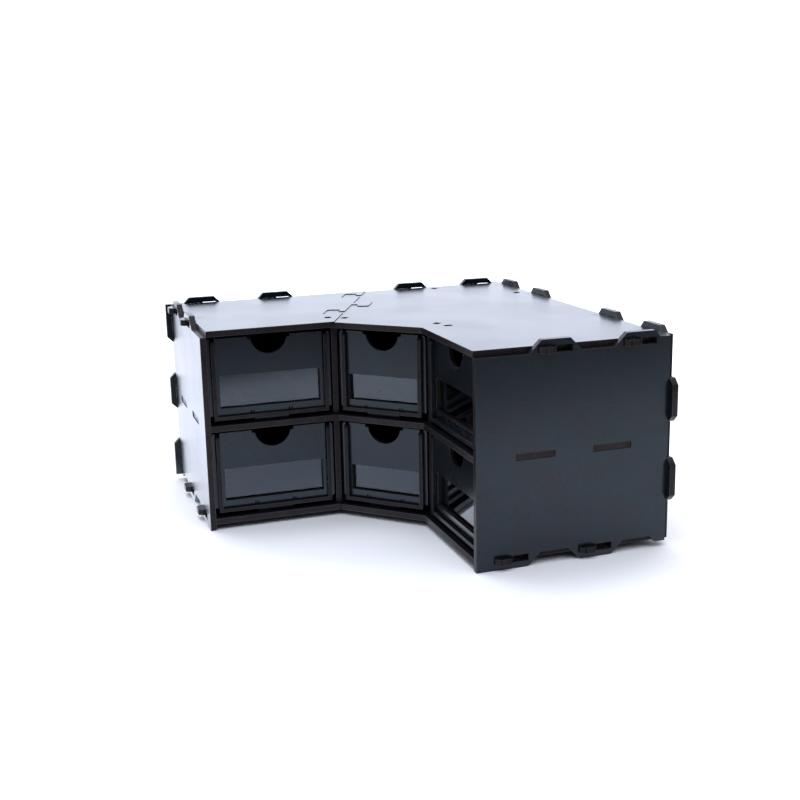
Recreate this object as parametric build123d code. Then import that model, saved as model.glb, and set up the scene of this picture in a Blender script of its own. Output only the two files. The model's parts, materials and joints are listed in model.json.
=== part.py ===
from build123d import *

import os
from math import cos, radians, sqrt, tan

# Corner module of a paint rack: two wings and a middle bay at 45 degrees, on two tiers,
# cut from thin board. +Z is up, the left wing's drawers open towards -Y and the right
# wing's towards -X. The origin is on the floor, under the middle of the square plan.

# Sheet and fits
BOARD = 3.0  # cabinet board
DRAWER_BOARD = 2.0
FIT = 0.1  # play on each side of a tab, slot or crossing
SEAM_GAP = 0.15  # cut width along the seam of a two-plate panel

# Cabinet plan and tiers
WING_FRONT = 64.2  # front edge of a wing, side panel to inner corner
MIDDLE_FRONT = 48.6  # front edge of the middle bay, also its clear width
DEPTH = 95.5  # wing front edge to back panel
BAY_HEIGHT = 44.5  # clear height of a tier

# Partitions between the bays
WALL_INSET = 1.0  # a wing partition stands this far inside the inner corner
WING_WALL_SETBACK = 3.0  # wing partition behind the front edge
MIDDLE_WALL_SETBACK = 7.0  # middle partition behind the inner corner
WALL_TAB = 4.0  # partition tab seen in the top and the floor
WALL_TAB_SHY = 0.7  # its end below the plate's outer face
WALL_TAB_FRONT = 13.5  # front tab's centre behind the inner corner
WALL_TAB_REAR = 9.5  # middle partition's rear tab's centre before its end
BACK_TAB = 14.0  # wing partition tab through a back panel
MIDDLE_WALL_END_GAP = 0.3  # middle partition short of the back panels

# Shelf tabs through the panels
SHELF_TAB = 19.1
SHELF_TAB_SHY = 0.4  # its end below the panel's outer face
SHELF_TAB_FRONT = 28.7  # first side tab's centre behind the front edge
SHELF_TAB_REAR = 28.7  # second side tab's centre before the back panel

# Stacking bumps, feet and their hooks
BUMP_TIP = 14.0  # flat top of a bump, with flanks at 45 degrees
SIDE_FOOT_MARGIN = 17.3  # first foot's hooks behind the front edge
SIDE_BUMP_MARGIN = 15.2  # last bump's centre before the back panel
BACK_BUMP_MARGIN = 14.3  # first and last bump's centre from the corners
LUG_TIP = 14.5  # flat end of a lug on a back panel's end
LUG_MARGIN = 11.0  # outer lug's tab from the top and the underside
LUG_TAB = 9.0  # tab of the mating panel through a lug
HOOK_WIDTH = 7.6
HOOK_OFFSET = 4.25  # hook and empty hole on either side of a bump's centre
HOOK_REACH = 3.0  # hook past the panel
HOOK_BARB = 0.5
HOOK_BARB_LAND = 0.8  # straight stretch of a barb
HOOK_NOSE = 1.2  # narrowing of the hook's tip on each side
HOOK_SLIT = 0.3
HOOK_SLIT_SPREAD = 4.0  # between the two slits
HOOK_SLIT_DEPTH = 6.0  # slits into the board
HOLE_RELIEF = 0.7  # plate cut back behind an empty hole

# Jigsaw seam
SEAM_ANGLE = 25.6  # from the wing's depth
KNOB_FRONT = 29.7  # first knob's centre along the seam
KNOB_REAR = 19.3  # last knob's centre before the back panel
KNOB_NECK = 5.6
KNOB_NECK_LENGTH = 3.2
KNOB_HEAD = 15.4
KNOB_HEAD_DEPTH = 6.8
KNOB_CORNER = 2.0

# Drawers
GLIDE = 0.1  # drawer feet above the bay's floor
DRAWER_FOOT = 1.9  # tabs stand this far below the drawer's base
SIDE_PLAY = 2.3  # side boards from the bay's walls
EAR = 1.8  # front and back boards past the side boards
LIP_SETBACK = 2.2  # lips behind the cabinet's front edge
FRONT_RECESS = 2.0  # front board behind the lips
HEADROOM = 1.7  # front board below the bay's ceiling
SIDE_DROP = 1.1  # side boards below the front board's top
REAR_GAP = 1.3  # wing drawer to the back panel
MIDDLE_REAR_GAP = 2.9  # middle drawer to the end of its bay's straight walls
DRAWER_TAB = 19.0  # tab of the front and back boards through the base
DRAWER_TAB_SLIT = 0.45  # relief slits beside the tab
DRAWER_TAB_SLIT_PITCH = 1.3
DRAWER_TAB_SLIT_HEIGHT = 1.5
SIDE_TAB = 16.0
SIDE_TAB_MARGIN = 25.0  # side tab's centre from the ends of the side board
SIDE_CORNER = 1.5
NOTCH_RADIUS = 9.1  # finger notch
NOTCH_STEP = 1.5  # shallow step on each side of the notch
NOTCH_STEP_DEPTH = 1.4
SILL = 3.7  # window opening above the front board's foot
WING_WINDOW_HEIGHT = 16.3
WING_WINDOW_MARGIN = 1.9  # window opening to the side boards
MIDDLE_WINDOW_HEIGHT = 13.1
MIDDLE_WINDOW_MARGIN = 1.1
PANE = 2.0
PANE_LAP = 4.0  # pane above the window opening
PANE_PLAY = 0.2

# Levels, from the ground up
FLOOR_Z = BOARD
FLOOR_TOP = FLOOR_Z + BOARD
SHELF_Z = FLOOR_TOP + BAY_HEIGHT
SHELF_TOP = SHELF_Z + BOARD
TOP_Z = SHELF_TOP + BAY_HEIGHT
TOP_TOP = TOP_Z + BOARD
BUMP_RISE = 2 * BOARD  # bump above the recess that it rises from
MID_Z = (FLOOR_Z + TOP_TOP) / 2

# Plan corners, inside the side and back panels
DIAGONAL = sqrt(0.5)
SPAN = WING_FRONT + MIDDLE_FRONT * DIAGONAL + DEPTH
HALF = SPAN / 2
LEFT_FRONT = (-HALF, HALF - DEPTH)
LEFT_INNER = (-HALF + WING_FRONT, HALF - DEPTH)
RIGHT_INNER = (HALF - DEPTH, -HALF + WING_FRONT)
RIGHT_FRONT = (HALF - DEPTH, -HALF)
RIGHT_BACK = (HALF, -HALF)
FAR_BACK = (HALF, HALF)
LEFT_BACK = (-HALF, HALF)
PLAN = (LEFT_FRONT, LEFT_INNER, RIGHT_INNER, RIGHT_FRONT, RIGHT_BACK, FAR_BACK, LEFT_BACK)
WING_CLEAR = WING_FRONT - WALL_INSET
MIDDLE_DEPTH = DEPTH / DIAGONAL  # inner corner to back panel, along the middle bay
SEAM_LENGTH = DEPTH / cos(radians(SEAM_ANGLE))

# Bump, foot and lug centres along the panels
BUMP_STEP = (DEPTH - SIDE_FOOT_MARGIN - SIDE_BUMP_MARGIN) / 3  # foot, bump, foot, bump on a side
BUMP_PITCH = 2 * BUMP_STEP
SIDE_FEET = (SIDE_FOOT_MARGIN, SIDE_FOOT_MARGIN + BUMP_PITCH)
SIDE_BUMPS = tuple(foot + BUMP_STEP for foot in SIDE_FEET)
NEAR_BUMPS = (BACK_BUMP_MARGIN, BACK_BUMP_MARGIN + BUMP_PITCH)
NEAR_FEET = tuple(bump + BUMP_STEP for bump in NEAR_BUMPS)
BACK_BUMPS = NEAR_BUMPS + tuple(SPAN - bump for bump in reversed(NEAR_BUMPS))
BACK_FEET = NEAR_FEET + (SPAN - NEAR_FEET[0],)  # the seam takes the fourth one's place
LUG_SPREAD = MID_Z - FLOOR_Z - LUG_MARGIN
OUTER_LUGS = (MID_Z - LUG_SPREAD, MID_Z, MID_Z + LUG_SPREAD)
INNER_LUGS = (MID_Z - LUG_SPREAD / 2, MID_Z + LUG_SPREAD / 2)

# Shelf tab centres along the panels; the back ones lie between the bay walls and the seam
SIDE_SHELF_TABS = (SHELF_TAB_FRONT, DEPTH - SHELF_TAB_REAR)
SEAM_END = WING_FRONT + DEPTH * tan(radians(SEAM_ANGLE))
DIAGONAL_WALL_END = WING_FRONT + DEPTH
BACK_SHELF_TABS = (
    WING_CLEAR / 2,
    (WING_CLEAR + SEAM_END) / 2,
    (SEAM_END + DIAGONAL_WALL_END) / 2 - BOARD,
    (DIAGONAL_WALL_END + SPAN) / 2,
)

PIECES = {}


def rect(left, low, right, high):
    """A rectangle between two corners."""
    return Pos((left + right) / 2, (low + high) / 2) * Rectangle(right - left, high - low)


def polygon(points, place=lambda along, out: (along, out)):
    """A face with straight sides, its points turned by place into plane coordinates."""
    return make_face(Polyline(*[place(*point) for point in points], close=True))


def box_points(centre, width, low, high):
    """Corners of a rectangle centred along an edge, between two distances out of it."""
    left, right = centre - width / 2, centre + width / 2
    return [(left, low), (right, low), (right, high), (left, high)]


# Hooks, holes and bumps, as (distance along an edge, distance out of it)


def hook_points(centre):
    """Snap hook through a panel: shank, barbs and narrowed nose."""
    half, shoulder, tip = HOOK_WIDTH / 2, BOARD + FIT, BOARD + HOOK_REACH
    right = [
        (half, -HOLE_RELIEF),
        (half, shoulder),
        (half + HOOK_BARB, shoulder),
        (half + HOOK_BARB, shoulder + HOOK_BARB_LAND),
        (half - HOOK_NOSE, tip),
    ]
    left = [(-along, out) for along, out in reversed(right)]
    return [(centre + along, out) for along, out in right + left]


def add_hooks(profile, centres, side, place):
    """Hooks on a board's edge, and room behind the empty holes beside them."""
    for centre in centres:
        hook = centre + side * HOOK_OFFSET
        hole = box_points(centre - side * HOOK_OFFSET, HOOK_WIDTH, -HOLE_RELIEF, FIT)
        profile = profile + polygon(hook_points(hook), place) - polygon(hole, place)
        for slit in (-HOOK_SLIT_SPREAD / 2, HOOK_SLIT_SPREAD / 2):
            cut = box_points(hook + slit, HOOK_SLIT, -HOOK_SLIT_DEPTH, BOARD + 2 * HOOK_REACH)
            profile = profile - polygon(cut, place)
    return profile


def hook_holes(centres, low, place):
    """Hook hole and empty hole through each bump, from the level of the plate they take."""
    holes = []
    for centre in centres:
        for side in (-1, 1):
            hole = box_points(
                centre + side * HOOK_OFFSET, HOOK_WIDTH + 2 * FIT, low - FIT, low + BOARD + FIT
            )
            holes.append(polygon(hole, place))
    return holes


def crest(start, end, bumps, start_level, end_level):
    """Stacking edge between two ends: (distance, height above the recess)."""
    points = [(start, start_level)]
    for bump in bumps:
        before = start_level if bump == bumps[0] else 0
        after = end_level if bump == bumps[-1] else 0
        points += [
            (bump - BUMP_TIP / 2 - BUMP_RISE + before, before),
            (bump - BUMP_TIP / 2, BUMP_RISE),
            (bump + BUMP_TIP / 2, BUMP_RISE),
            (bump + BUMP_TIP / 2 + BUMP_RISE - after, after),
        ]
    return points + [(end, end_level)]


def lug_points(centre, lugs):
    """Lug on a panel's end. The outer ones of three run on to the panel's corners."""
    low, high = centre - LUG_TIP / 2, centre + LUG_TIP / 2
    foot, head = low - BOARD, high + BOARD
    if lugs == OUTER_LUGS and centre == lugs[0]:
        low = foot = FLOOR_Z
    if lugs == OUTER_LUGS and centre == lugs[-1]:
        high = head = TOP_TOP
    return [
        (foot, 0),
        (foot, BOARD),
        (low, BUMP_RISE),
        (high, BUMP_RISE),
        (head, BOARD),
        (head, 0),
    ]


# Side and back panels


class Panel:
    """One upright panel: its inner face's line in plan, and what stands along it."""

    def __init__(self, origin, along, outward, start_level, edge_centres, shelf_tabs, hook_side):
        self.origin = Vector(*origin)
        self.along = Vector(*along)
        self.outward = Vector(*outward)
        self.length, self.bumps, self.feet = edge_centres
        self.edge = crest(0, self.length, self.bumps, start_level, BOARD)
        self.shelf_tabs = shelf_tabs
        self.hook_side = hook_side

    def in_plan(self, along, out):
        """Plan point at a distance along the panel and out of its inner face."""
        point = self.origin + self.along * along + self.outward * out
        return (point.X, point.Y)

    def profile(self):
        """Upright outline with stacking edges, hook holes and shelf slots."""
        upper = [(along, TOP_Z + level) for along, level in reversed(self.edge)]
        holes = hook_holes(self.bumps, TOP_Z, lambda along, z: (along, z))
        holes += hook_holes(self.feet, FLOOR_Z, lambda along, z: (along, z))
        for tab in self.shelf_tabs:
            holes.append(
                polygon(box_points(tab, SHELF_TAB + 2 * FIT, SHELF_Z - FIT, SHELF_TOP + FIT))
            )
        return polygon(self.edge + upper) - holes

    def raise_up(self, name, profile):
        """Give the upright outline the board's thickness, outwards from the inner face."""
        plane = Plane(self.origin, x_dir=self.along, z_dir=self.along.cross(Vector(0, 0, 1)))
        PIECES[name] = extrude(plane * profile, amount=BOARD, dir=self.outward)


SIDE = (DEPTH, SIDE_BUMPS, SIDE_FEET)
BACK = (SPAN, BACK_BUMPS, BACK_FEET)
SIDE_LEFT = Panel(LEFT_FRONT, (0, 1, 0), (-1, 0, 0), 0, SIDE, SIDE_SHELF_TABS, 1)
SIDE_RIGHT = Panel(RIGHT_FRONT, (1, 0, 0), (0, -1, 0), 0, SIDE, SIDE_SHELF_TABS, -1)
BACK_LEFT = Panel(LEFT_BACK, (1, 0, 0), (0, 1, 0), BOARD, BACK, BACK_SHELF_TABS, -1)
BACK_RIGHT = Panel(RIGHT_BACK, (0, 1, 0), (1, 0, 0), BOARD, BACK, BACK_SHELF_TABS, 1)
PANELS = (SIDE_LEFT, SIDE_RIGHT, BACK_LEFT, BACK_RIGHT)


def far_end(length):
    """Plane coordinates at a panel's far end: height, then distance past the end."""
    return lambda z, out: (length + out, z)


def near_end(z, out):
    """Plane coordinates at a panel's near end: height, then distance past the end."""
    return (-out, z)


def with_end_tabs(profile, lugs, place):
    """End of a panel that meets a back panel, with a tab for each of its lugs."""
    for lug in lugs:
        profile = profile + polygon(box_points(lug, LUG_TAB, -BOARD, BOARD), place)
    return profile


def with_lugs(profile, lugs, place):
    """End of a back panel, with lugs that hold the mating panel's tabs."""
    for lug in lugs:
        slot = box_points(lug, LUG_TAB + 2 * FIT, -FIT, BOARD + FIT)
        profile = profile + polygon(lug_points(lug, lugs), place) - polygon(slot, place)
    return profile


def wall_slots(profile):
    """Slots of a back panel for the tabs of the wing partition that meets it."""
    for low in (FLOOR_TOP, SHELF_TOP):
        middle = low + BAY_HEIGHT / 2
        profile = profile - rect(
            WING_CLEAR - FIT,
            middle - BACK_TAB / 2 - FIT,
            WING_CLEAR + BOARD + FIT,
            middle + BACK_TAB / 2 + FIT,
        )
    return profile


def make_panels():
    """The two side panels and the two back panels."""
    side = SIDE_LEFT.profile()
    SIDE_LEFT.raise_up("side_panel_left", with_end_tabs(side, OUTER_LUGS, far_end(DEPTH)))
    SIDE_RIGHT.raise_up("side_panel_right", with_end_tabs(side, INNER_LUGS, far_end(DEPTH)))
    back = wall_slots(BACK_LEFT.profile())
    left = with_lugs(with_lugs(back, OUTER_LUGS, near_end), INNER_LUGS, far_end(SPAN))
    BACK_LEFT.raise_up("back_panel_left", left)
    right = with_end_tabs(with_lugs(back, INNER_LUGS, near_end), INNER_LUGS, far_end(SPAN))
    BACK_RIGHT.raise_up("back_panel_right", right)


# Partitions


class Partition:
    """One bay wall: where it starts in plan, its direction, and its two ends along that."""

    def __init__(self, corner, direction, side, start, end, back_tabs):
        self.direction = Vector(*direction).normalized()
        self.thickness = Vector(*side).normalized()
        self.corner = Vector(*corner)
        self.start = start
        self.end = end
        self.back_tabs = back_tabs
        self.middle = (start + end) / 2
        self.tabs = (WALL_TAB_FRONT,) if back_tabs else (WALL_TAB_FRONT, end - WALL_TAB_REAR)

    def slot(self, low, high):
        """Plan of a slot for this wall between two distances along it, with its play."""
        corners = []
        for along, out in ((low, -FIT), (high, -FIT), (high, BOARD + FIT), (low, BOARD + FIT)):
            point = self.corner + self.direction * along + self.thickness * out
            corners.append((point.X, point.Y))
        return polygon(corners)

    def tab_slots(self):
        """Plan of the slots in the top and the floor."""
        return [
            self.slot(tab - WALL_TAB / 2 - FIT, tab + WALL_TAB / 2 + FIT) for tab in self.tabs
        ]

    def shelf_slot(self):
        """Plan of the shelf's slot, open at the back, which this wall's rear half fills."""
        return self.slot(self.middle - FIT, self.end + DEPTH)

    def make(self, name):
        """The wall, with a slot from the front for the shelf."""
        profile = rect(self.start, FLOOR_TOP, self.end, TOP_Z)
        for tab in self.tabs:
            low, high = FLOOR_Z + WALL_TAB_SHY, TOP_TOP - WALL_TAB_SHY
            profile = profile + rect(tab - WALL_TAB / 2, low, tab + WALL_TAB / 2, high)
        if self.back_tabs:
            for low in (FLOOR_TOP, SHELF_TOP):
                middle = low + BAY_HEIGHT / 2
                profile = profile + rect(
                    self.end - BOARD, middle - BACK_TAB / 2, self.end + BOARD, middle + BACK_TAB / 2
                )
        profile = profile - rect(self.start - BOARD, SHELF_Z - FIT, self.middle + FIT, SHELF_TOP + FIT)
        plane = Plane(self.corner, x_dir=self.direction, z_dir=self.direction.cross(Vector(0, 0, 1)))
        PIECES[name] = extrude(plane * profile, amount=BOARD, dir=self.thickness)


MIDDLE_WALL_END = MIDDLE_DEPTH - BOARD - MIDDLE_WALL_END_GAP
PARTITIONS = {
    "partition_left": Partition(
        (LEFT_INNER[0] - WALL_INSET, LEFT_INNER[1]), (0, 1), (1, 0), WING_WALL_SETBACK, DEPTH, True
    ),
    "partition_middle_left": Partition(
        LEFT_INNER, (1, 1), (-1, 1), MIDDLE_WALL_SETBACK, MIDDLE_WALL_END, False
    ),
    "partition_middle_right": Partition(
        RIGHT_INNER, (1, 1), (1, -1), MIDDLE_WALL_SETBACK, MIDDLE_WALL_END, False
    ),
    "partition_right": Partition(
        (RIGHT_INNER[0], RIGHT_INNER[1] - WALL_INSET), (1, 0), (0, 1), WING_WALL_SETBACK, DEPTH, True
    ),
}


# Top, shelf and floor


def knob(centre, side, grow):
    """Jigsaw knob in seam coordinates: along the seam, then out to the left of it."""
    length = KNOB_NECK_LENGTH + KNOB_HEAD_DEPTH
    neck = rect(-KNOB_NECK / 2 - grow, -KNOB_NECK_LENGTH, KNOB_NECK / 2 + grow, length)
    head = Pos(0, KNOB_NECK_LENGTH + KNOB_HEAD_DEPTH / 2) * RectangleRounded(
        KNOB_HEAD + 2 * grow, KNOB_HEAD_DEPTH + 2 * grow, KNOB_CORNER
    )
    return Pos(centre, 0) * Rot(0, 0, 0 if side > 0 else 180) * (neck + head)


def left_of_seam(shift):
    """Plan region on the left of the seam, its edge moved to the right by shift."""
    reach = 2 * SPAN
    last = SEAM_LENGTH - KNOB_REAR
    region = rect(-reach, -shift, reach, reach)
    for centre in (KNOB_FRONT, last):
        region = region - knob(centre, 1, -shift)
    region = region + knob((KNOB_FRONT + last) / 2, -1, shift)
    return Pos(*LEFT_INNER) * Rot(0, 0, 90 - SEAM_ANGLE) * region


def make_plates(name, profile, level):
    """Cut a level plate along the seam into its left and corner plates."""
    left = profile & left_of_seam(-SEAM_GAP / 2)
    corner = profile - left_of_seam(SEAM_GAP / 2)
    PIECES[f"{name}_left"] = extrude(Pos(0, 0, level) * left, amount=BOARD)
    PIECES[f"{name}_corner"] = extrude(Pos(0, 0, level) * corner, amount=BOARD)


def hooked_profile(centres):
    """Plan of a plate between the panels, with hooks at the given centres along each panel."""
    profile = polygon(PLAN)
    for panel, row in zip(PANELS, centres):
        profile = add_hooks(profile, row, panel.hook_side, panel.in_plan)
    for wall in PARTITIONS.values():
        profile = profile - wall.tab_slots()
    return profile


def make_top():
    """Top plates, hooked through the stacking bumps."""
    make_plates("top_panel", hooked_profile([panel.bumps for panel in PANELS]), TOP_Z)


def make_floor():
    """Floor plates, hooked through the feet."""
    make_plates("floor_panel", hooked_profile([panel.feet for panel in PANELS]), FLOOR_Z)


def make_shelf():
    """Shelf plates, with tabs through the panels and slots for the partitions."""
    profile = polygon(PLAN)
    for panel in PANELS:
        for tab in panel.shelf_tabs:
            tongue = box_points(tab, SHELF_TAB, -BOARD, BOARD - SHELF_TAB_SHY)
            profile = profile + polygon(tongue, panel.in_plan)
    for wall in PARTITIONS.values():
        profile = profile - wall.shelf_slot()
    make_plates("shelf", profile, SHELF_Z)


# Drawers, each in its bay's frame: x across, y inwards from the front edge, z from the bay's floor


class Drawer:
    """One kind of drawer, sized to its bay."""

    def __init__(self, clear, length, window_height, window_margin):
        self.width = clear - 2 * SIDE_PLAY
        self.length = length
        self.window_height = window_height
        self.window_margin = window_margin
        self.base_z = GLIDE + DRAWER_FOOT
        self.floor = self.base_z + DRAWER_BOARD
        self.front_top = BAY_HEIGHT - HEADROOM
        self.side_top = self.front_top - SIDE_DROP
        self.lap = (self.floor + self.side_top) / 2
        self.start = LIP_SETBACK
        self.end = LIP_SETBACK + length
        self.front_y = self.start + FRONT_RECESS
        self.back_y = self.end - FRONT_RECESS - DRAWER_BOARD
        self.side_tabs = (self.start + SIDE_TAB_MARGIN, self.end - SIDE_TAB_MARGIN)

    def end_board(self):
        """Outline that the front and back boards share: ears, laps for the sides, and a tab."""
        half = self.width / 2
        profile = rect(-half - EAR, self.floor, half + EAR, self.front_top)
        profile = fillet(profile.vertices().group_by(Axis.Y)[-1], EAR - FIT)
        for side in (-1, 1):
            middle = side * (half - DRAWER_BOARD / 2)
            reach = DRAWER_BOARD / 2 + FIT
            profile = profile - rect(middle - reach, self.lap - FIT, middle + reach, BAY_HEIGHT)
            for offset in (-DRAWER_TAB_SLIT_PITCH / 2, DRAWER_TAB_SLIT_PITCH / 2):
                slit = side * (DRAWER_TAB + DRAWER_TAB_SLIT) / 2 + offset
                profile = profile - rect(
                    slit - DRAWER_TAB_SLIT / 2,
                    0,
                    slit + DRAWER_TAB_SLIT / 2,
                    self.floor + DRAWER_TAB_SLIT_HEIGHT,
                )
        tab = DRAWER_TAB / 2 - DRAWER_TAB_SLIT_PITCH / 2
        return profile + rect(-tab, GLIDE, tab, self.floor + DRAWER_BOARD)

    def front(self):
        """Front board with finger notch and window opening."""
        top = self.front_top
        reach = NOTCH_RADIUS + NOTCH_STEP
        step = rect(-reach, top - NOTCH_STEP_DEPTH, reach, BAY_HEIGHT)
        window = self.width / 2 - DRAWER_BOARD - self.window_margin
        low = self.floor + SILL
        profile = self.end_board() - Pos(0, top) * Circle(NOTCH_RADIUS) - step
        profile = profile - rect(-window, low, window, low + self.window_height)
        return self.across(profile, self.front_y, DRAWER_BOARD)

    def back(self):
        """Plain back board."""
        return self.across(self.end_board(), self.back_y, DRAWER_BOARD)

    def window(self):
        """Clear pane behind the front board, standing on the base."""
        half = self.width / 2 - DRAWER_BOARD - PANE_PLAY
        top = self.floor + SILL + self.window_height + PANE_LAP
        return self.across(rect(-half, self.floor, half, top), self.front_y + DRAWER_BOARD, PANE)

    def across(self, profile, start, thickness):
        """Raise an outline across the drawer, its front face at start."""
        plane = Plane((0, start, 0), x_dir=(1, 0, 0), z_dir=(0, -1, 0))
        return extrude(plane * profile, amount=thickness, dir=(0, 1, 0))

    def side(self, left):
        """Side board, slotted from below over the front and back boards."""
        profile = rect(self.start, self.floor, self.end, self.side_top)
        profile = fillet(profile.vertices().group_by(Axis.Y)[-1], SIDE_CORNER)
        for board in (self.front_y, self.back_y):
            profile = profile - rect(board - FIT, 0, board + DRAWER_BOARD + FIT, self.lap + FIT)
        for tab in self.side_tabs:
            profile = profile + rect(
                tab - SIDE_TAB / 2, self.base_z, tab + SIDE_TAB / 2, self.floor + DRAWER_BOARD
            )
        plane = Plane((left, 0, 0), x_dir=(0, 1, 0), z_dir=(1, 0, 0))
        return extrude(plane * profile, amount=DRAWER_BOARD)

    def base(self):
        """Base board under the sides, with slots for every tab."""
        half = self.width / 2
        profile = rect(-half, self.start, half, self.end)
        tab = DRAWER_TAB / 2 - DRAWER_TAB_SLIT_PITCH / 2 + FIT
        for board in (self.front_y, self.back_y):
            profile = profile - rect(-tab, board - FIT, tab, board + DRAWER_BOARD + FIT)
        for middle in self.side_tabs:
            low, high = middle - SIDE_TAB / 2 - FIT, middle + SIDE_TAB / 2 + FIT
            for left in (-half - FIT, half - DRAWER_BOARD - FIT):
                profile = profile - rect(left, low, left + DRAWER_BOARD + 2 * FIT, high)
        return extrude(Pos(0, 0, self.base_z) * profile, amount=DRAWER_BOARD)

    def boards(self):
        """Every piece of the drawer by name."""
        return {
            "front": self.front(),
            "side_left": self.side(-self.width / 2),
            "side_right": self.side(self.width / 2 - DRAWER_BOARD),
            "back": self.back(),
            "base": self.base(),
            "window": self.window(),
        }


WING_LENGTH = DEPTH - LIP_SETBACK - REAR_GAP
MIDDLE_LENGTH = MIDDLE_DEPTH - LIP_SETBACK - MIDDLE_REAR_GAP
WING_DRAWER = Drawer(WING_CLEAR, WING_LENGTH, WING_WINDOW_HEIGHT, WING_WINDOW_MARGIN)
MIDDLE_DRAWER = Drawer(MIDDLE_FRONT, MIDDLE_LENGTH, MIDDLE_WINDOW_HEIGHT, MIDDLE_WINDOW_MARGIN)
MIDDLE_POINT = (
    (LEFT_INNER[0] + RIGHT_INNER[0]) / 2,
    (LEFT_INNER[1] + RIGHT_INNER[1]) / 2,
)
BAYS = {
    "left": (WING_DRAWER, (-HALF + WING_CLEAR / 2, LEFT_FRONT[1]), 0),
    "middle": (MIDDLE_DRAWER, MIDDLE_POINT, -45),
    "right": (WING_DRAWER, (RIGHT_FRONT[0], -HALF + WING_CLEAR / 2), -90),
}
TIERS = {"lower": FLOOR_TOP, "upper": SHELF_TOP}


def make_drawers():
    """Six closed drawers, one in each bay of each tier."""
    for bay, (drawer, place, turn) in BAYS.items():
        boards = drawer.boards()
        for tier, level in TIERS.items():
            for board, solid in boards.items():
                name = f"drawer_{bay}_{tier}_{board}"
                PIECES[name] = Pos(*place, level) * Rot(0, 0, turn) * solid


make_panels()
for wall_name, wall in PARTITIONS.items():
    wall.make(wall_name)
make_top()
make_shelf()
make_floor()
make_drawers()

os.makedirs("parts", exist_ok=True)
for piece_name, piece in PIECES.items():
    export_step(piece, f"parts/{piece_name}.step")
print(len(PIECES), "pieces,", round(SPAN + 2 * BOARD, 2), "mm square over the panels")
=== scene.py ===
"""Corner paint rack: dresses its laser-cut boards and clear panes, and lights them in a white studio."""

from __future__ import annotations

import json
import logging
import math
from dataclasses import dataclass, field
from enum import Enum

import bmesh
import bpy
from mathutils import Matrix, Vector

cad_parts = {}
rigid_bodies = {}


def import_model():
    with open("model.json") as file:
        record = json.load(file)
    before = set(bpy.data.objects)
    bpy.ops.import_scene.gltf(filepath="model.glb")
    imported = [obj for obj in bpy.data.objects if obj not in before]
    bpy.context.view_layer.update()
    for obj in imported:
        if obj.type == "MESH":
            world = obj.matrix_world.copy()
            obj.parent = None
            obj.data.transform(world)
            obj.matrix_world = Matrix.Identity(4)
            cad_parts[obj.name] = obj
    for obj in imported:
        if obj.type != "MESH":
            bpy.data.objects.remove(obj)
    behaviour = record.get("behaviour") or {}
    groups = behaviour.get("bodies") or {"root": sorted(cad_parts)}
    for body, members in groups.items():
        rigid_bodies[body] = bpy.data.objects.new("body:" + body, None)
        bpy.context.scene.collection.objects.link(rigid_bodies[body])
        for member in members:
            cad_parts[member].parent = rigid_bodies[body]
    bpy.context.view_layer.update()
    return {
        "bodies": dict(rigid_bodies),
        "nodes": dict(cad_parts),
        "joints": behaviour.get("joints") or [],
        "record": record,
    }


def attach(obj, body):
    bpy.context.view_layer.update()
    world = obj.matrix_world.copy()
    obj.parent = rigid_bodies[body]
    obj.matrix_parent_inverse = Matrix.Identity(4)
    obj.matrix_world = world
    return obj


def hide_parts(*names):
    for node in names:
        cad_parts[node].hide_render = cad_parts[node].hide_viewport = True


LOG = logging.getLogger("paint_rack")

MM = 0.001
MERGE_REACH = 0.001 * MM  # corners of the loose triangles nearer than this are one corner
FLAT_TURN = math.radians(0.5)  # triangles that turn less than this are one flat face
SHARP_TURN = math.radians(20)  # edges that turn less than this are shaded round
CUT_TURN = math.radians(30)  # edges that turn more than this are cut edges
LYING = 0.5  # a sheet lies flat where the direction through it rises by at least this
PLACE = "board_place"  # each corner's place on its own board, in mm: along, across, through

Material = bpy.types.Material
Socket = bpy.types.NodeSocket
Tree = bpy.types.NodeTree
Colour = tuple[float, float, float, float]
Span = tuple[float, float]
Spot = tuple[float, float, float]


class Curve(Enum):
    """How a value changes between two levels. The value is Blender's name for it."""

    STRAIGHT = "LINEAR"
    SOFT = "SMOOTHSTEP"


class Blend(Enum):
    """How two colours are put together. The value is Blender's name for it."""

    MIX = "MIX"
    MULTIPLY = "MULTIPLY"


def linear(hex_colour: str) -> Colour:
    """Turn an sRGB hex colour into linear light.

    Args:
        hex_colour: Six hex digits after a hash sign.

    Returns:
        Red, green, blue and an alpha of one.
    """
    channels = [int(hex_colour[i : i + 2], 16) / 255 for i in (1, 3, 5)]
    red, green, blue = (c / 12.92 if c <= 0.04045 else ((c + 0.055) / 1.055) ** 2.4 for c in channels)
    return (red, green, blue, 1.0)


def add_node(tree: Tree, kind: str, inputs: dict | None = None, **settings) -> bpy.types.Node:
    """Add one shader node with its settings and links.

    Args:
        tree: Node tree that takes the node.
        kind: Blender's name for the kind of node.
        inputs: For each socket's name or number, a value, or an output socket to link from.
        settings: The node's own settings by name.

    Returns:
        The new node.
    """
    node = tree.nodes.new(kind)
    for name, value in settings.items():
        setattr(node, name, value)
    for socket, value in (inputs or {}).items():
        if isinstance(value, Socket):
            tree.links.new(value, node.inputs[socket])
        else:
            node.inputs[socket].default_value = value
    return node


def compute(tree: Tree, operation: str, first: Socket | float, second: Socket | float = 0.0) -> Socket:
    """Work out one number from one or two others.

    Args:
        tree: Node tree that takes the node.
        operation: Blender's name for the sum.
        first: First number.
        second: Second number, where the sum needs one.

    Returns:
        The result.
    """
    return add_node(tree, "ShaderNodeMath", {0: first, 1: second}, operation=operation).outputs[0]


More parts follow.
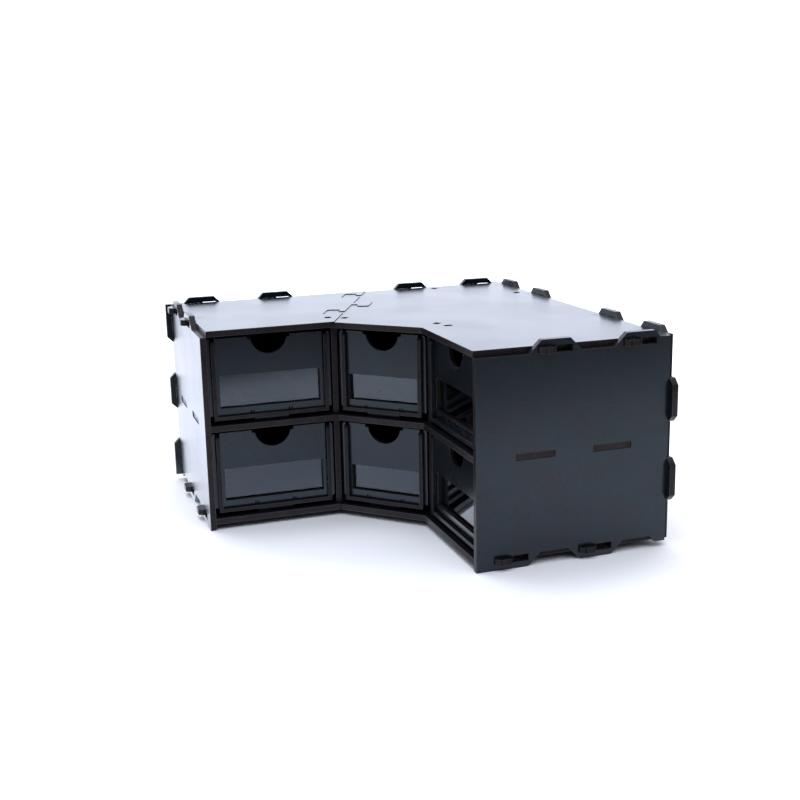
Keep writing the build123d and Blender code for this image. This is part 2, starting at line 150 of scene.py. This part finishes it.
def mapped(
    tree: Tree, value: Socket, span: Span, levels: Span = (0.0, 1.0), curve: Curve = Curve.STRAIGHT
) -> Socket:
    """Turn a span of a value into a change from one level to another.

    Args:
        tree: Node tree that takes the node.
        value: The value.
        span: Where the change starts and ends.
        levels: The level before and after.
        curve: How the level changes in between.

    Returns:
        The level.
    """
    return add_node(
        tree,
        "ShaderNodeMapRange",
        {
            "Value": value,
            "From Min": span[0],
            "From Max": span[1],
            "To Min": levels[0],
            "To Max": levels[1],
        },
        interpolation_type=curve.value,
    ).outputs["Result"]


def blended(
    tree: Tree,
    share: Socket | float,
    first: Socket | Colour,
    second: Socket | Colour,
    blend: Blend = Blend.MIX,
) -> Socket:
    """Put two colours together.

    Args:
        tree: Node tree that takes the node.
        share: How far the second colour counts.
        first: First colour.
        second: Second colour.
        blend: How they are put together.

    Returns:
        The colour.
    """
    return add_node(
        tree,
        "ShaderNodeMix",
        {"Factor": share, "A": first, "B": second},
        data_type="RGBA",
        blend_type=blend.value,
    ).outputs["Result"]


def bumped(tree: Tree, height: Socket, depth: float) -> Socket:
    """Turn a pattern into a slight relief.

    Args:
        tree: Node tree that takes the node.
        height: The pattern.
        depth: Depth of the relief, mm.

    Returns:
        The surface's direction.
    """
    return add_node(
        tree, "ShaderNodeBump", {"Height": height, "Strength": 1.0, "Distance": depth * MM}
    ).outputs["Normal"]


def new_material(name: str) -> Material:
    """Make an empty node material of that name."""
    material = bpy.data.materials.new(name)
    material.use_nodes = True
    material.node_tree.nodes.clear()
    return material


class Zone(Enum):
    """Where a face lies on a board. The value is its material's number on the piece."""

    FILM = 0
    RIM = 1
    CORE = 2


@dataclass(frozen=True)
class Pattern:
    """One noise pattern: its width in mm, its finer steps, and the part of its range that counts."""

    size: float
    detail: float
    span: Span = (0.0, 1.0)
    roughness: float = 0.5

    def noise(self, tree: Tree, spot: Socket) -> Socket:
        """Lay the pattern.

        Args:
            tree: Node tree that takes the pattern.
            spot: Place on the sheet, in mm.

        Returns:
            The pattern, from nought to one.
        """
        return add_node(
            tree,
            "ShaderNodeTexNoise",
            {"Vector": spot, "Scale": 1 / self.size, "Detail": self.detail, "Roughness": self.roughness},
        ).outputs["Fac"]

    def share(self, tree: Tree, spot: Socket, levels: Span = (0.0, 1.0)) -> Socket:
        """Lay the pattern as a change between two levels.

        Args:
            tree: Node tree that takes the pattern.
            spot: Place on the sheet, in mm.
            levels: The level where the pattern is low and where it is high.

        Returns:
            The level.
        """
        return mapped(tree, self.noise(tree, spot), self.span, levels)


@dataclass(frozen=True)
class Finish:
    """A finish whose patterns lie along each sheet's own faces."""

    name: str

    def start(self) -> tuple[Material, Socket]:
        """Begin the material.

        Returns:
            The empty material, and the place on the sheet that its patterns read.
        """
        made = new_material(self.name)
        place = add_node(made.node_tree, "ShaderNodeAttribute", attribute_name=PLACE)
        return made, place.outputs["Vector"]

    @staticmethod
    def close(made: Material, inputs: dict) -> Material:
        """Give the material its surface.

        Args:
            made: The material.
            inputs: The surface's values and links by name.

        Returns:
            The same material.
        """
        shader = add_node(made.node_tree, "ShaderNodeBsdfPrincipled", inputs)
        add_node(made.node_tree, "ShaderNodeOutputMaterial", {"Surface": shader.outputs["BSDF"]})
        return made


@dataclass(frozen=True)
class BlackFilm(Finish):
    """Black melamine film on hardboard, hot pressed between satin plates.

    It is nearly black from the front, with a soft sheen that turns pale at low angles; a painted cool tint
    colours that sheen.
    The fibres under the film show as a faint grain, and handling leaves dull patches and finger marks where
    the painted tint is warmer.
    """

    name: str = "black_melamine_film"
    deep: str = "#0b0e12"
    pale: str = "#13171c"
    mottle: Pattern = Pattern(7.0, 4.0)  # colour change
    patch: Pattern = Pattern(38.0, 5.0, (0.35, 0.7))  # dull patch
    smudge: Pattern = Pattern(15.0, 4.0, (0.48, 0.66))  # finger mark
    grain: Pattern = Pattern(0.6, 3.0, (0.3, 0.7))  # fibres; coarser than the real 0.3 so that they show
    grain_height: float = 0.014  # mm
    pitted: float = 0.78  # share of the gloss that is left in the grain's pits
    smooth: float = 0.24
    dull: float = 0.28
    ior: float = 1.53
    sheen: str = "#def0ff"  # painted cool tint on the film's reflections
    smudged: str = "#e5e8f3"  # painted reflection tint under finger marks, less cool than the rest

    def material(self) -> Material:
        """Build the finish.

        Returns:
            The material.
        """
        made, spot = self.start()
        tree = made.node_tree
        colour = blended(tree, self.mottle.noise(tree, spot), linear(self.deep), linear(self.pale))
        # gloss: the painted cool tint on the film's reflections, warmer under finger marks
        gloss = blended(tree, self.smudge.share(tree, spot), linear(self.sheen), linear(self.smudged))
        grain = self.grain.noise(tree, spot)
        pits = mapped(tree, grain, self.grain.span, (self.pitted, 1.0))
        return self.close(
            made,
            {
                "Base Color": colour,
                "Roughness": self.patch.share(tree, spot, (self.smooth, self.dull)),
                "IOR": self.ior,
                "Specular Tint": blended(tree, 1.0, gloss, pits, Blend.MULTIPLY),
                "Normal": bumped(tree, grain, self.grain_height),
            },
        )


@dataclass(frozen=True)
class RubbedRim(Finish):
    """The film's own cut edge, melted round by the laser and rubbed where boards slide.

    It is as black as the film, duller, and browner where the rubbing has opened it.
    """

    name: str = "rubbed_film_rim"
    film: str = "#101115"
    rubbed: str = "#2c2624"
    rub: Pattern = Pattern(9.0, 6.0, (0.48, 0.72), roughness=0.7)  # rubbed stretch
    roughness: float = 0.45

    def material(self) -> Material:
        """Build the finish.

        Returns:
            The material.
        """
        made, spot = self.start()
        tree = made.node_tree
        colour = blended(tree, self.rub.share(tree, spot), linear(self.film), linear(self.rubbed))
        return self.close(made, {"Base Color": colour, "Roughness": self.roughness})


@dataclass(frozen=True)
class BurntCore(Finish):
    """Hardboard core as a laser leaves it: brown-black char with fine streaks through the board.

    The streaks run from face to face, and lighter and darker stretches follow each other along a cut.
    """

    name: str = "laser_burnt_hardboard"
    char: str = "#110e0f"
    brown: str = "#2b2526"
    streak: float = 0.7  # mm between streaks; coarser than the real 0.2 so that they show
    streak_run: float = 9.0  # mm, longer than the board is thick
    streaks: Pattern = Pattern(1.0, 3.0)  # over places that are counted in streaks
    streak_depth: float = 0.03  # mm
    cloud: Pattern = Pattern(16.0, 3.0)  # lighter and darker stretches of a cut
    cloud_share: float = 0.45  # how far they count beside the streaks
    burn: Span = (0.33, 0.67)  # of both together: from char to brown
    roughness: float = 0.30
    ior: float = 1.24  # thin char: dull from the front, shining at low angles

    def material(self) -> Material:
        """Build the finish.

        Returns:
            The material.
        """
        made, spot = self.start()
        tree = made.node_tree
        drawn_out = add_node(
            tree,
            "ShaderNodeMapping",
            {"Vector": spot, "Scale": (1 / self.streak, 1 / self.streak, 1 / self.streak_run)},
        )
        streaks = self.streaks.noise(tree, drawn_out.outputs["Vector"])
        both = add_node(
            tree,
            "ShaderNodeMix",
            {"Factor": self.cloud_share, "A": streaks, "B": self.cloud.noise(tree, spot)},
            data_type="FLOAT",
        )
        burnt = mapped(tree, both.outputs["Result"], self.burn)
        return self.close(
            made,
            {
                "Base Color": blended(tree, burnt, linear(self.char), linear(self.brown)),
                "Roughness": self.roughness,
                "IOR": self.ior,
                "Normal": bumped(tree, streaks, self.streak_depth),
            },
        )


@dataclass(frozen=True)
class ClearAcrylic(Finish):
    """Cast acrylic sheet with a smoke tint and polished faces, wiped but not spotless.

    It shows the dark drawer behind it under a clean mirror image of the pale room.
    """

    name: str = "clear_cast_acrylic"
    tint: str = "#747a81"  # smoke that passes about a fifth of the light, darker than clear sheet
    ior: float = 1.66  # raised from the sheet's 1.49 to match its mirror image in the photograph
    sheen: str = "#e4effd"  # painted cool tint on its mirror image
    polished: float = 0.02
    smeared: float = 0.03
    smear: Pattern = Pattern(22.0, 6.0, (0.45, 0.75))  # wiping mark

    def material(self) -> Material:
        """Build the finish.

        Returns:
            The material.
        """
        made, spot = self.start()
        return self.close(
            made,
            {
                "Base Color": linear(self.tint),
                "Roughness": self.smear.share(made.node_tree, spot, (self.polished, self.smeared)),
                "IOR": self.ior,
                # painted cool tint on the mirror image
                "Specular Tint": linear(self.sheen),
                "Transmission Weight": 1.0,
            },
        )


@dataclass
class Sheet:
    """One flat cut piece, dressed over its plate: softened rims and places along its own faces."""

    node: str
    body: str
    slot: str
    suffix: str
    number: int
    softening: float = 0.15 * MM
    shift: float = 61.0  # mm between the pattern origins of neighbouring pieces

    def plate_mesh(self, plate: bpy.types.Object) -> bmesh.types.BMesh:
        """Copy the plate's triangles and join them to whole faces.

        Args:
            plate: The node's own object, which is left as it is.

        Returns:
            A closed mesh with one face for each flat face, as far as holes allow.
        """
        bm = bmesh.new()
        bm.from_mesh(plate.data)
        bmesh.ops.remove_doubles(bm, verts=bm.verts, dist=MERGE_REACH)
        bmesh.ops.dissolve_limit(
            bm, angle_limit=FLAT_TURN, use_dissolve_boundaries=False, verts=bm.verts, edges=bm.edges
        )
        return bm

    @staticmethod
    def through(bm: bmesh.types.BMesh) -> Vector:
        """Find the direction through the sheet, which its widest face looks along.

        Args:
            bm: The sheet's mesh.

        Returns:
            A unit vector.
        """
        return max(bm.faces, key=lambda face: face.calc_area()).normal.copy()

    def soften(self, bm: bmesh.types.BMesh) -> None:
        """Round every cut edge a little, as the laser's heat does.

        Args:
            bm: The sheet's mesh.
        """
        cut = [edge for edge in bm.edges if len(edge.link_faces) == 2 and edge.calc_face_angle() > CUT_TURN]
        bmesh.ops.bevel(
            bm,
            geom=cut,
            offset=self.softening,
            offset_type="OFFSET",
            segments=2,
            profile=0.5,
            affect="EDGES",
            clamp_overlap=True,
            material=-1,
        )

    def mark_places(self, bm: bmesh.types.BMesh, axis: Vector) -> None:
        """Give each corner its place on the sheet, in mm, for the finishes to read.

        Args:
            bm: The sheet's mesh.
            axis: Direction through the sheet.
        """
        up = Vector((0, 0, 1))
        along = up.cross(axis).normalized() if abs(axis.z) < LYING else Vector((1, 0, 0))
        across = axis.cross(along)
        layer = bm.verts.layers.float_vector.new(PLACE)
        for vert in bm.verts:
            place = Vector((vert.co.dot(along), vert.co.dot(across), vert.co.dot(axis))) / MM
            vert[layer] = place + Vector((self.number * self.shift, 0, 0))

    def finish(self, bm: bmesh.types.BMesh, materials: list[Material]) -> bpy.types.Object:
        """Make the piece's object, stand it in for its node and let it ride on its body.

        Args:
            bm: The finished mesh, which is freed.
            materials: The piece's finishes, in the order of its faces' numbers.

        Returns:
            The piece.
        """
        name = f"{self.node}.{self.suffix}"
        mesh = bpy.data.meshes.new(name)
        bm.to_mesh(mesh)
        bm.free()
        for material in materials:
            mesh.materials.append(material)
        mesh.shade_smooth()
        mesh.set_sharp_from_angle(angle=SHARP_TURN)
        for face in mesh.polygons:
            face.use_smooth = face.material_index != Zone.FILM.value
        piece = bpy.data.objects.new(name, mesh)
        bpy.context.scene.collection.objects.link(piece)
        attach(piece, self.body)
        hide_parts(self.node)
        LOG.info("%s: %d faces, rides on %s", name, len(mesh.polygons), self.body)
        return piece


@dataclass(frozen=True)
class SeamStep:
    """Small step between the two top plates, which never lie quite level along their seam."""

    foot: Span = (-32.8 * MM, 1.5 * MM)  # front end of the seam
    turn: float = math.radians(25.6)  # from the left wing's depth
    flat: float = 12 * MM  # the whole step as far as this from the seam
    reach: float = 30 * MM  # and none from here on, where the panels hold the plates
    lifts: tuple[tuple[str, float], ...] = (
        ("top_panel_left", 0.2 * MM),
        ("top_panel_corner", -0.15 * MM),
    )

    def settle(self, bm: bmesh.types.BMesh, node: str) -> None:
        """Raise or sink a plate along the seam.

        Args:
            bm: The plate's mesh.
            node: The plate's node; any other one is left level.
        """
        lift = dict(self.lifts).get(node, 0.0)
        aside = Vector((math.cos(self.turn), -math.sin(self.turn)))
        for vert in bm.verts:
            away = abs((vert.co.xy - Vector(self.foot)).dot(aside))
            vert.co.z += lift * min(1.0, max(0.0, (self.reach - away) / (self.reach - self.flat)))


@dataclass
class Board(Sheet):
    """One laser-cut board: a film on each face, and the burnt core between them along every cut."""

    slot: str = "board"
    suffix: str = "board"
    number: int = 0
    film: float = 0.28 * MM
    seam: SeamStep = field(default_factory=SeamStep)

    def build(self, plate: bpy.types.Object, materials: dict[Zone, Material]) -> bpy.types.Object:
        """Make the board's piece.

        Args:
            plate: The node's own object.
            materials: A finish for each zone.

        Returns:
            The piece.
        """
        bm = self.plate_mesh(plate)
        axis = self.through(bm)
        depths = [vert.co.dot(axis) for vert in bm.verts]
        low, high = min(depths), max(depths)
        self.soften(bm)
        for depth in (low + self.film, high - self.film):
            bmesh.ops.bisect_plane(
                bm,
                geom=[*bm.verts, *bm.edges, *bm.faces],
                dist=MERGE_REACH,
                plane_co=axis * depth,
                plane_no=axis,
            )
        for face in bm.faces:
            face.material_index = self.zone(face, axis, low, high).value
        self.mark_places(bm, axis)
        self.seam.settle(bm, self.node)
        return self.finish(bm, [materials[zone] for zone in Zone])

    def zone(self, face: bmesh.types.BMFace, axis: Vector, low: float, high: float) -> Zone:
        """Tell a face of the film from its rim and from the core.

        Args:
            face: A face of the board.
            axis: Direction through the board.
            low: Depth of one film's face along that direction.
            high: Depth of the other one's.

        Returns:
            The face's zone.
        """
        if abs(face.normal.dot(axis)) > math.cos(SHARP_TURN):
            return Zone.FILM
        depth = face.calc_center_median().dot(axis)
        return Zone.CORE if low + self.film < depth < high - self.film else Zone.RIM


@dataclass
class Pane(Sheet):
    """One clear window pane with polished edges."""

    slot: str = "pane"
    suffix: str = "pane"
    number: int = 0

    def build(self, plate: bpy.types.Object, material: Material) -> bpy.types.Object:
        """Make the pane's piece.

        Args:
            plate: The node's own object.
            material: The clear finish.

        Returns:
            The piece.
        """
        bm = self.plate_mesh(plate)
        axis = self.through(bm)
        self.soften(bm)
        self.mark_places(bm, axis)
        return self.finish(bm, [material])


@dataclass
class Finishes:
    """Every finish of the rack, made once and shared by its pieces."""

    film: BlackFilm = field(default_factory=BlackFilm)
    rim: RubbedRim = field(default_factory=RubbedRim)
    core: BurntCore = field(default_factory=BurntCore)
    acrylic: ClearAcrylic = field(default_factory=ClearAcrylic)

    def __post_init__(self) -> None:
        """Make the materials."""
        self.board = {
            Zone.FILM: self.film.material(),
            Zone.RIM: self.rim.material(),
            Zone.CORE: self.core.material(),
        }
        self.pane = self.acrylic.material()


@dataclass
class Cabinet:
    """The fixed body: panels, top, shelf, floor and partitions, all of black board."""

    nodes: list[str]
    body: str = "cabinet"

    def dress(self, frame: dict, finishes: Finishes) -> list[bpy.types.Object]:
        """Dress every board of the cabinet.

        Args:
            frame: The loaded frame.
            finishes: The rack's finishes.

        Returns:
            The pieces.
        """
        return [
            Board(node, self.body, number=number).build(frame["nodes"][node], finishes.board)
            for number, node in enumerate(self.nodes)
        ]


class Bay(Enum):
    """The three bays of a tier, from the left wing to the right one."""

    LEFT = "left"
    MIDDLE = "middle"
    RIGHT = "right"


class Tier(Enum):
    """The two levels of drawers."""

    LOWER = "lower"
    UPPER = "upper"


@dataclass
class Drawer:
    """One drawer: five boards, and a pane behind its window opening."""

    bay: Bay
    tier: Tier
    number: int
    boards: tuple[str, ...] = ("front", "side_left", "side_right", "back", "base")
    window: str = "window"

    @property
    def body(self) -> str:
        """The body that the drawer's pieces ride on."""
        return f"drawer_{self.bay.value}_{self.tier.value}"

    def dress(self, frame: dict, finishes: Finishes) -> list[bpy.types.Object]:
        """Dress the drawer's boards and its pane.

        Args:
            frame: The loaded frame.
            finishes: The rack's finishes.

        Returns:
            The pieces.
        """
        first = self.number * (len(self.boards) + 1)
        pieces = []
        for offset, board in enumerate(self.boards):
            node = f"{self.body}_{board}"
            sheet = Board(node, self.body, number=first + offset)
            pieces.append(sheet.build(frame["nodes"][node], finishes.board))
        node = f"{self.body}_{self.window}"
        pane = Pane(node, self.body, number=first + len(self.boards))
        pieces.append(pane.build(frame["nodes"][node], finishes.pane))
        return pieces


@dataclass(frozen=True)
class Softbox:
    """One square-on studio light: its place, its size, and how bright its face is."""

    name: str
    place: Spot
    width: float
    height: float
    radiance: float
    colour: str
    target: Spot = (0.0, 0.0, 0.05)  # what it points at

    def hang(self) -> bpy.types.Object:
        """Hang the light.

        Returns:
            The light, which neither the camera nor a mirror image shows.
        """
        data = bpy.data.lights.new(self.name, "AREA")
        data.shape = "RECTANGLE"
        data.size, data.size_y = self.width, self.height
        data.energy = self.radiance * math.pi * self.width * self.height
        data.color = linear(self.colour)[:3]
        light = bpy.data.objects.new(self.name, data)
        bpy.context.scene.collection.objects.link(light)
        aim = Vector(self.target) - Vector(self.place)
        turn = aim.to_track_quat("-Z", "Y").to_matrix().to_4x4()
        light.matrix_world = Matrix.Translation(self.place) @ turn
        light.visible_camera = False
        light.visible_glossy = False
        return light


@dataclass
class Studio:
    """White floor, pale surroundings, softboxes behind, above and in front, and the photographer's camera."""

    floor_reach: float = 6.0
    floor_colour: str = "#f5f3ef"
    sheet_back: Span = (-0.16, 0.06)  # the floor rises into the lit backdrop here
    sheet_front: Span = (-0.255, -0.40)  # and ends here, towards the camera
    sheet_eye: Span = (0.45, 0.90)  # radius where the eye loses the floor in white
    plan_half: float = 98 * MM  # half the rack's plan, under which the ground stays dark
    plan_front: float = 1.5 * MM  # where its wings' fronts stand in that plan
    plan_corner: float = -31.3 * MM  # sum of x and y where the middle bay's front cuts the inner corner
    room_turn: Span = (-0.35, 0.15)  # from the unlit room in front to the backdrop
    pale_colour: str = "#e9efff"
    fill_level: float = 1.05  # light of the surroundings on the rack and the floor
    fill_tilt: float = math.radians(60)  # its axis above the heading
    fill_turn: Span = (-0.20, 0.40)  # from the dark low front to the bright rest
    fill_floor: float = 0.03  # what is left of it there
    sheet_level: float = 2.9  # lit floor behind the rack, as reflections show it
    back_level: float = 2.5  # lit wall behind it, likewise
    front_level: float = 0.1  # unlit room on the camera's side, as reflections show it
    eye_level: float = 1.25  # the surroundings as the camera sees them: plain white
    camera_place: Spot = (-0.18755, -0.56592, 0.20027)
    yaw: float = math.radians(-18.372)
    pitch: float = math.radians(13.401)
    roll: float = math.radians(-1.213)
    lens: float = 53.73
    sensor: float = 36.0
    softboxes: tuple[Softbox, ...] = (
        Softbox("key_softbox", (0.27, 0.81, 0.85), 2.5, 1.07, 2.0, "#ffffff"),
        Softbox("front_fill", (-0.2, -0.7, 1.3), 1.6, 1.2, 1.6, "#e4ecff"),
        Softbox("top_softbox", (-0.22, 0.24, 1.2), 0.4, 0.35, 11.0, "#e4ecff"),
    )

    def lay_floor(self) -> bpy.types.Object:
        """Lay the floor, which fades into the surroundings away from the rack.

        Returns:
            The floor, marked as stage.
        """
        bm = bmesh.new()
        bmesh.ops.create_grid(bm, x_segments=1, y_segments=1, size=self.floor_reach)
        mesh = bpy.data.meshes.new("studio_floor")
        bm.to_mesh(mesh)
        bm.free()
        mesh.materials.append(self.floor_finish())
        floor = bpy.data.objects.new("studio_floor", mesh)
        bpy.context.scene.collection.objects.link(floor)
        return floor

    def floor_finish(self) -> Material:
        """Build the floor's finish: white paper that turns into the lit backdrop away from the rack.

        Returns:
            The material.
        """
        made = new_material("white_studio_floor")
        tree = made.node_tree
        path = add_node(tree, "ShaderNodeLightPath")
        spot = add_node(tree, "ShaderNodeTexCoord").outputs["Object"]
        depth = self.depth(tree, spot)
        behind = mapped(tree, depth, self.sheet_back, curve=Curve.SOFT)
        in_front = mapped(tree, depth, self.sheet_front, curve=Curve.SOFT)
        away = compute(tree, "MAXIMUM", behind, in_front)
        far = compute(tree, "MULTIPLY", away, self.open_floor(tree, spot))
        shown = compute(tree, "MULTIPLY", far, self.mirrored(tree, path))
        radius = add_node(tree, "ShaderNodeVectorMath", {0: spot}, operation="LENGTH").outputs["Value"]
        lost = mapped(tree, radius, self.sheet_eye, curve=Curve.SOFT)
        eye = compute(tree, "MULTIPLY", lost, path.outputs["Is Camera Ray"])
        level = self.backdrop(tree, path, depth, self.sheet_level)
        paper = add_node(tree, "ShaderNodeBsdfDiffuse", {"Color": linear(self.floor_colour)})
        glow = add_node(tree, "ShaderNodeEmission", {"Color": linear(self.pale_colour), "Strength": level})
        both = add_node(
            tree,
            "ShaderNodeMixShader",
            {0: compute(tree, "MAXIMUM", shown, eye), 1: paper.outputs[0], 2: glow.outputs[0]},
        )
        add_node(tree, "ShaderNodeOutputMaterial", {"Surface": both.outputs[0]})
        return made

    def open_floor(self, tree: Tree, spot: Socket) -> Socket:
        """Tell the open floor from the ground under the rack.

        Args:
            tree: Node tree of the floor.
            spot: Place on the floor.

        Returns:
            One on the open floor, nought under the rack.
        """
        split = add_node(tree, "ShaderNodeSeparateXYZ", {0: spot})
        x, y = split.outputs["X"], split.outputs["Y"]
        wings = compute(tree, "SUBTRACT", compute(tree, "MAXIMUM", x, y), self.plan_front)
        corner = compute(tree, "SUBTRACT", compute(tree, "ADD", x, y), self.plan_corner)
        behind_fronts = compute(tree, "MAXIMUM", wings, corner)
        reach = compute(tree, "MAXIMUM", compute(tree, "ABSOLUTE", x), compute(tree, "ABSOLUTE", y))
        inside_panels = compute(tree, "SUBTRACT", self.plan_half, reach)
        return compute(tree, "LESS_THAN", compute(tree, "MINIMUM", behind_fronts, inside_panels), 0.0)

    def mirrored(self, tree: Tree, path: bpy.types.Node) -> Socket:
        """Tell reflections and views through clear sheet from light that falls on the rack.

        Args:
            tree: Node tree of the floor or the surroundings.
            path: Its light path node.

        Returns:
            One for a mirrored or passed ray, else nought.
        """
        return compute(tree, "MAXIMUM", path.outputs["Is Glossy Ray"], path.outputs["Is Transmission Ray"])

    def depth(self, tree: Tree, spot: Socket, tilt: float = 0.0) -> Socket:
        """Measure how far a place or direction lies along the camera's heading.

        Args:
            tree: Node tree of the floor or the surroundings.
            spot: Place on the floor, or direction into the surroundings.
            tilt: Angle that the heading is raised by.

        Returns:
            The depth, which grows away from the camera.
        """
        heading = (
            -math.sin(self.yaw) * math.cos(tilt),
            math.cos(self.yaw) * math.cos(tilt),
            math.sin(tilt),
        )
        return add_node(
            tree, "ShaderNodeVectorMath", {0: spot, 1: heading}, operation="DOT_PRODUCT"
        ).outputs["Value"]

    def backdrop(self, tree: Tree, path: bpy.types.Node, depth: Socket, lit: float) -> Socket:
        """Grade from the unlit room in front to the lit backdrop behind. The eye sees white all round.

        Args:
            tree: Node tree of the floor or the surroundings.
            path: Its light path node.
            depth: Depth of a place or direction along the camera's heading.
            lit: Level of the backdrop.

        Returns:
            The level of light.
        """
        room = mapped(tree, depth, self.room_turn, (self.front_level, lit), Curve.SOFT)
        eye = compute(tree, "MULTIPLY", path.outputs["Is Camera Ray"], self.eye_level)
        return compute(tree, "MAXIMUM", room, eye)

    def surround(self) -> None:
        """Set the surroundings: a fill as light, dark low in front, and a graded room in reflections."""
        world = bpy.data.worlds.new("white_room")
        world.use_nodes = True
        tree = world.node_tree
        tree.nodes.clear()
        path = add_node(tree, "ShaderNodeLightPath")
        aim = add_node(tree, "ShaderNodeTexCoord").outputs["Generated"]
        raised = self.depth(tree, aim, self.fill_tilt)
        around = mapped(tree, raised, self.fill_turn, (self.fill_floor, self.fill_level), Curve.SOFT)
        level = self.backdrop(tree, path, self.depth(tree, aim), self.back_level)
        pale = linear(self.pale_colour)
        fill = add_node(tree, "ShaderNodeBackground", {"Color": pale, "Strength": around})
        room = add_node(tree, "ShaderNodeBackground", {"Color": pale, "Strength": level})
        seen = compute(tree, "MAXIMUM", path.outputs["Is Camera Ray"], self.mirrored(tree, path))
        both = add_node(tree, "ShaderNodeMixShader", {0: seen, 1: fill.outputs[0], 2: room.outputs[0]})
        add_node(tree, "ShaderNodeOutputWorld", {"Surface": both.outputs[0]})
        bpy.context.scene.world = world

    def place_camera(self) -> bpy.types.Object:
        """Put the camera where the photograph was taken from.

        Returns:
            The camera, made the scene's own.
        """
        data = bpy.data.cameras.new("camera")
        data.lens, data.sensor_width = self.lens, self.sensor
        camera = bpy.data.objects.new("camera", data)
        bpy.context.scene.collection.objects.link(camera)
        camera.matrix_world = (
            Matrix.Translation(self.camera_place)
            @ Matrix.Rotation(self.yaw, 4, "Z")
            @ Matrix.Rotation(math.pi / 2 - self.pitch, 4, "X")
            @ Matrix.Rotation(self.roll, 4, "Z")
        )
        bpy.context.scene.camera = camera
        return camera

    def build(self) -> None:
        """Set up the floor, the surroundings, the lights and the camera."""
        bpy.context.scene.view_settings.view_transform = "Standard"
        self.lay_floor()
        self.surround()
        for softbox in self.softboxes:
            softbox.hang()
        self.place_camera()


def main() -> None:
    """Dress the rack and set up its studio."""
    logging.basicConfig(level=logging.INFO, format="%(name)s: %(message)s")
    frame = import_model()
    finishes = Finishes()
    pieces = Cabinet(frame["record"]["behaviour"]["bodies"][Cabinet.body]).dress(frame, finishes)
    places = [(bay, tier) for tier in Tier for bay in Bay]
    # The drawers are numbered past the cabinet's boards, so that no two pieces share a pattern's origin.
    for number, (bay, tier) in enumerate(places, start=len(places)):
        pieces += Drawer(bay, tier, number).dress(frame, finishes)
    Studio().build()
    LOG.info("%d pieces dressed", len(pieces))


if __name__ == "__main__":
    main()
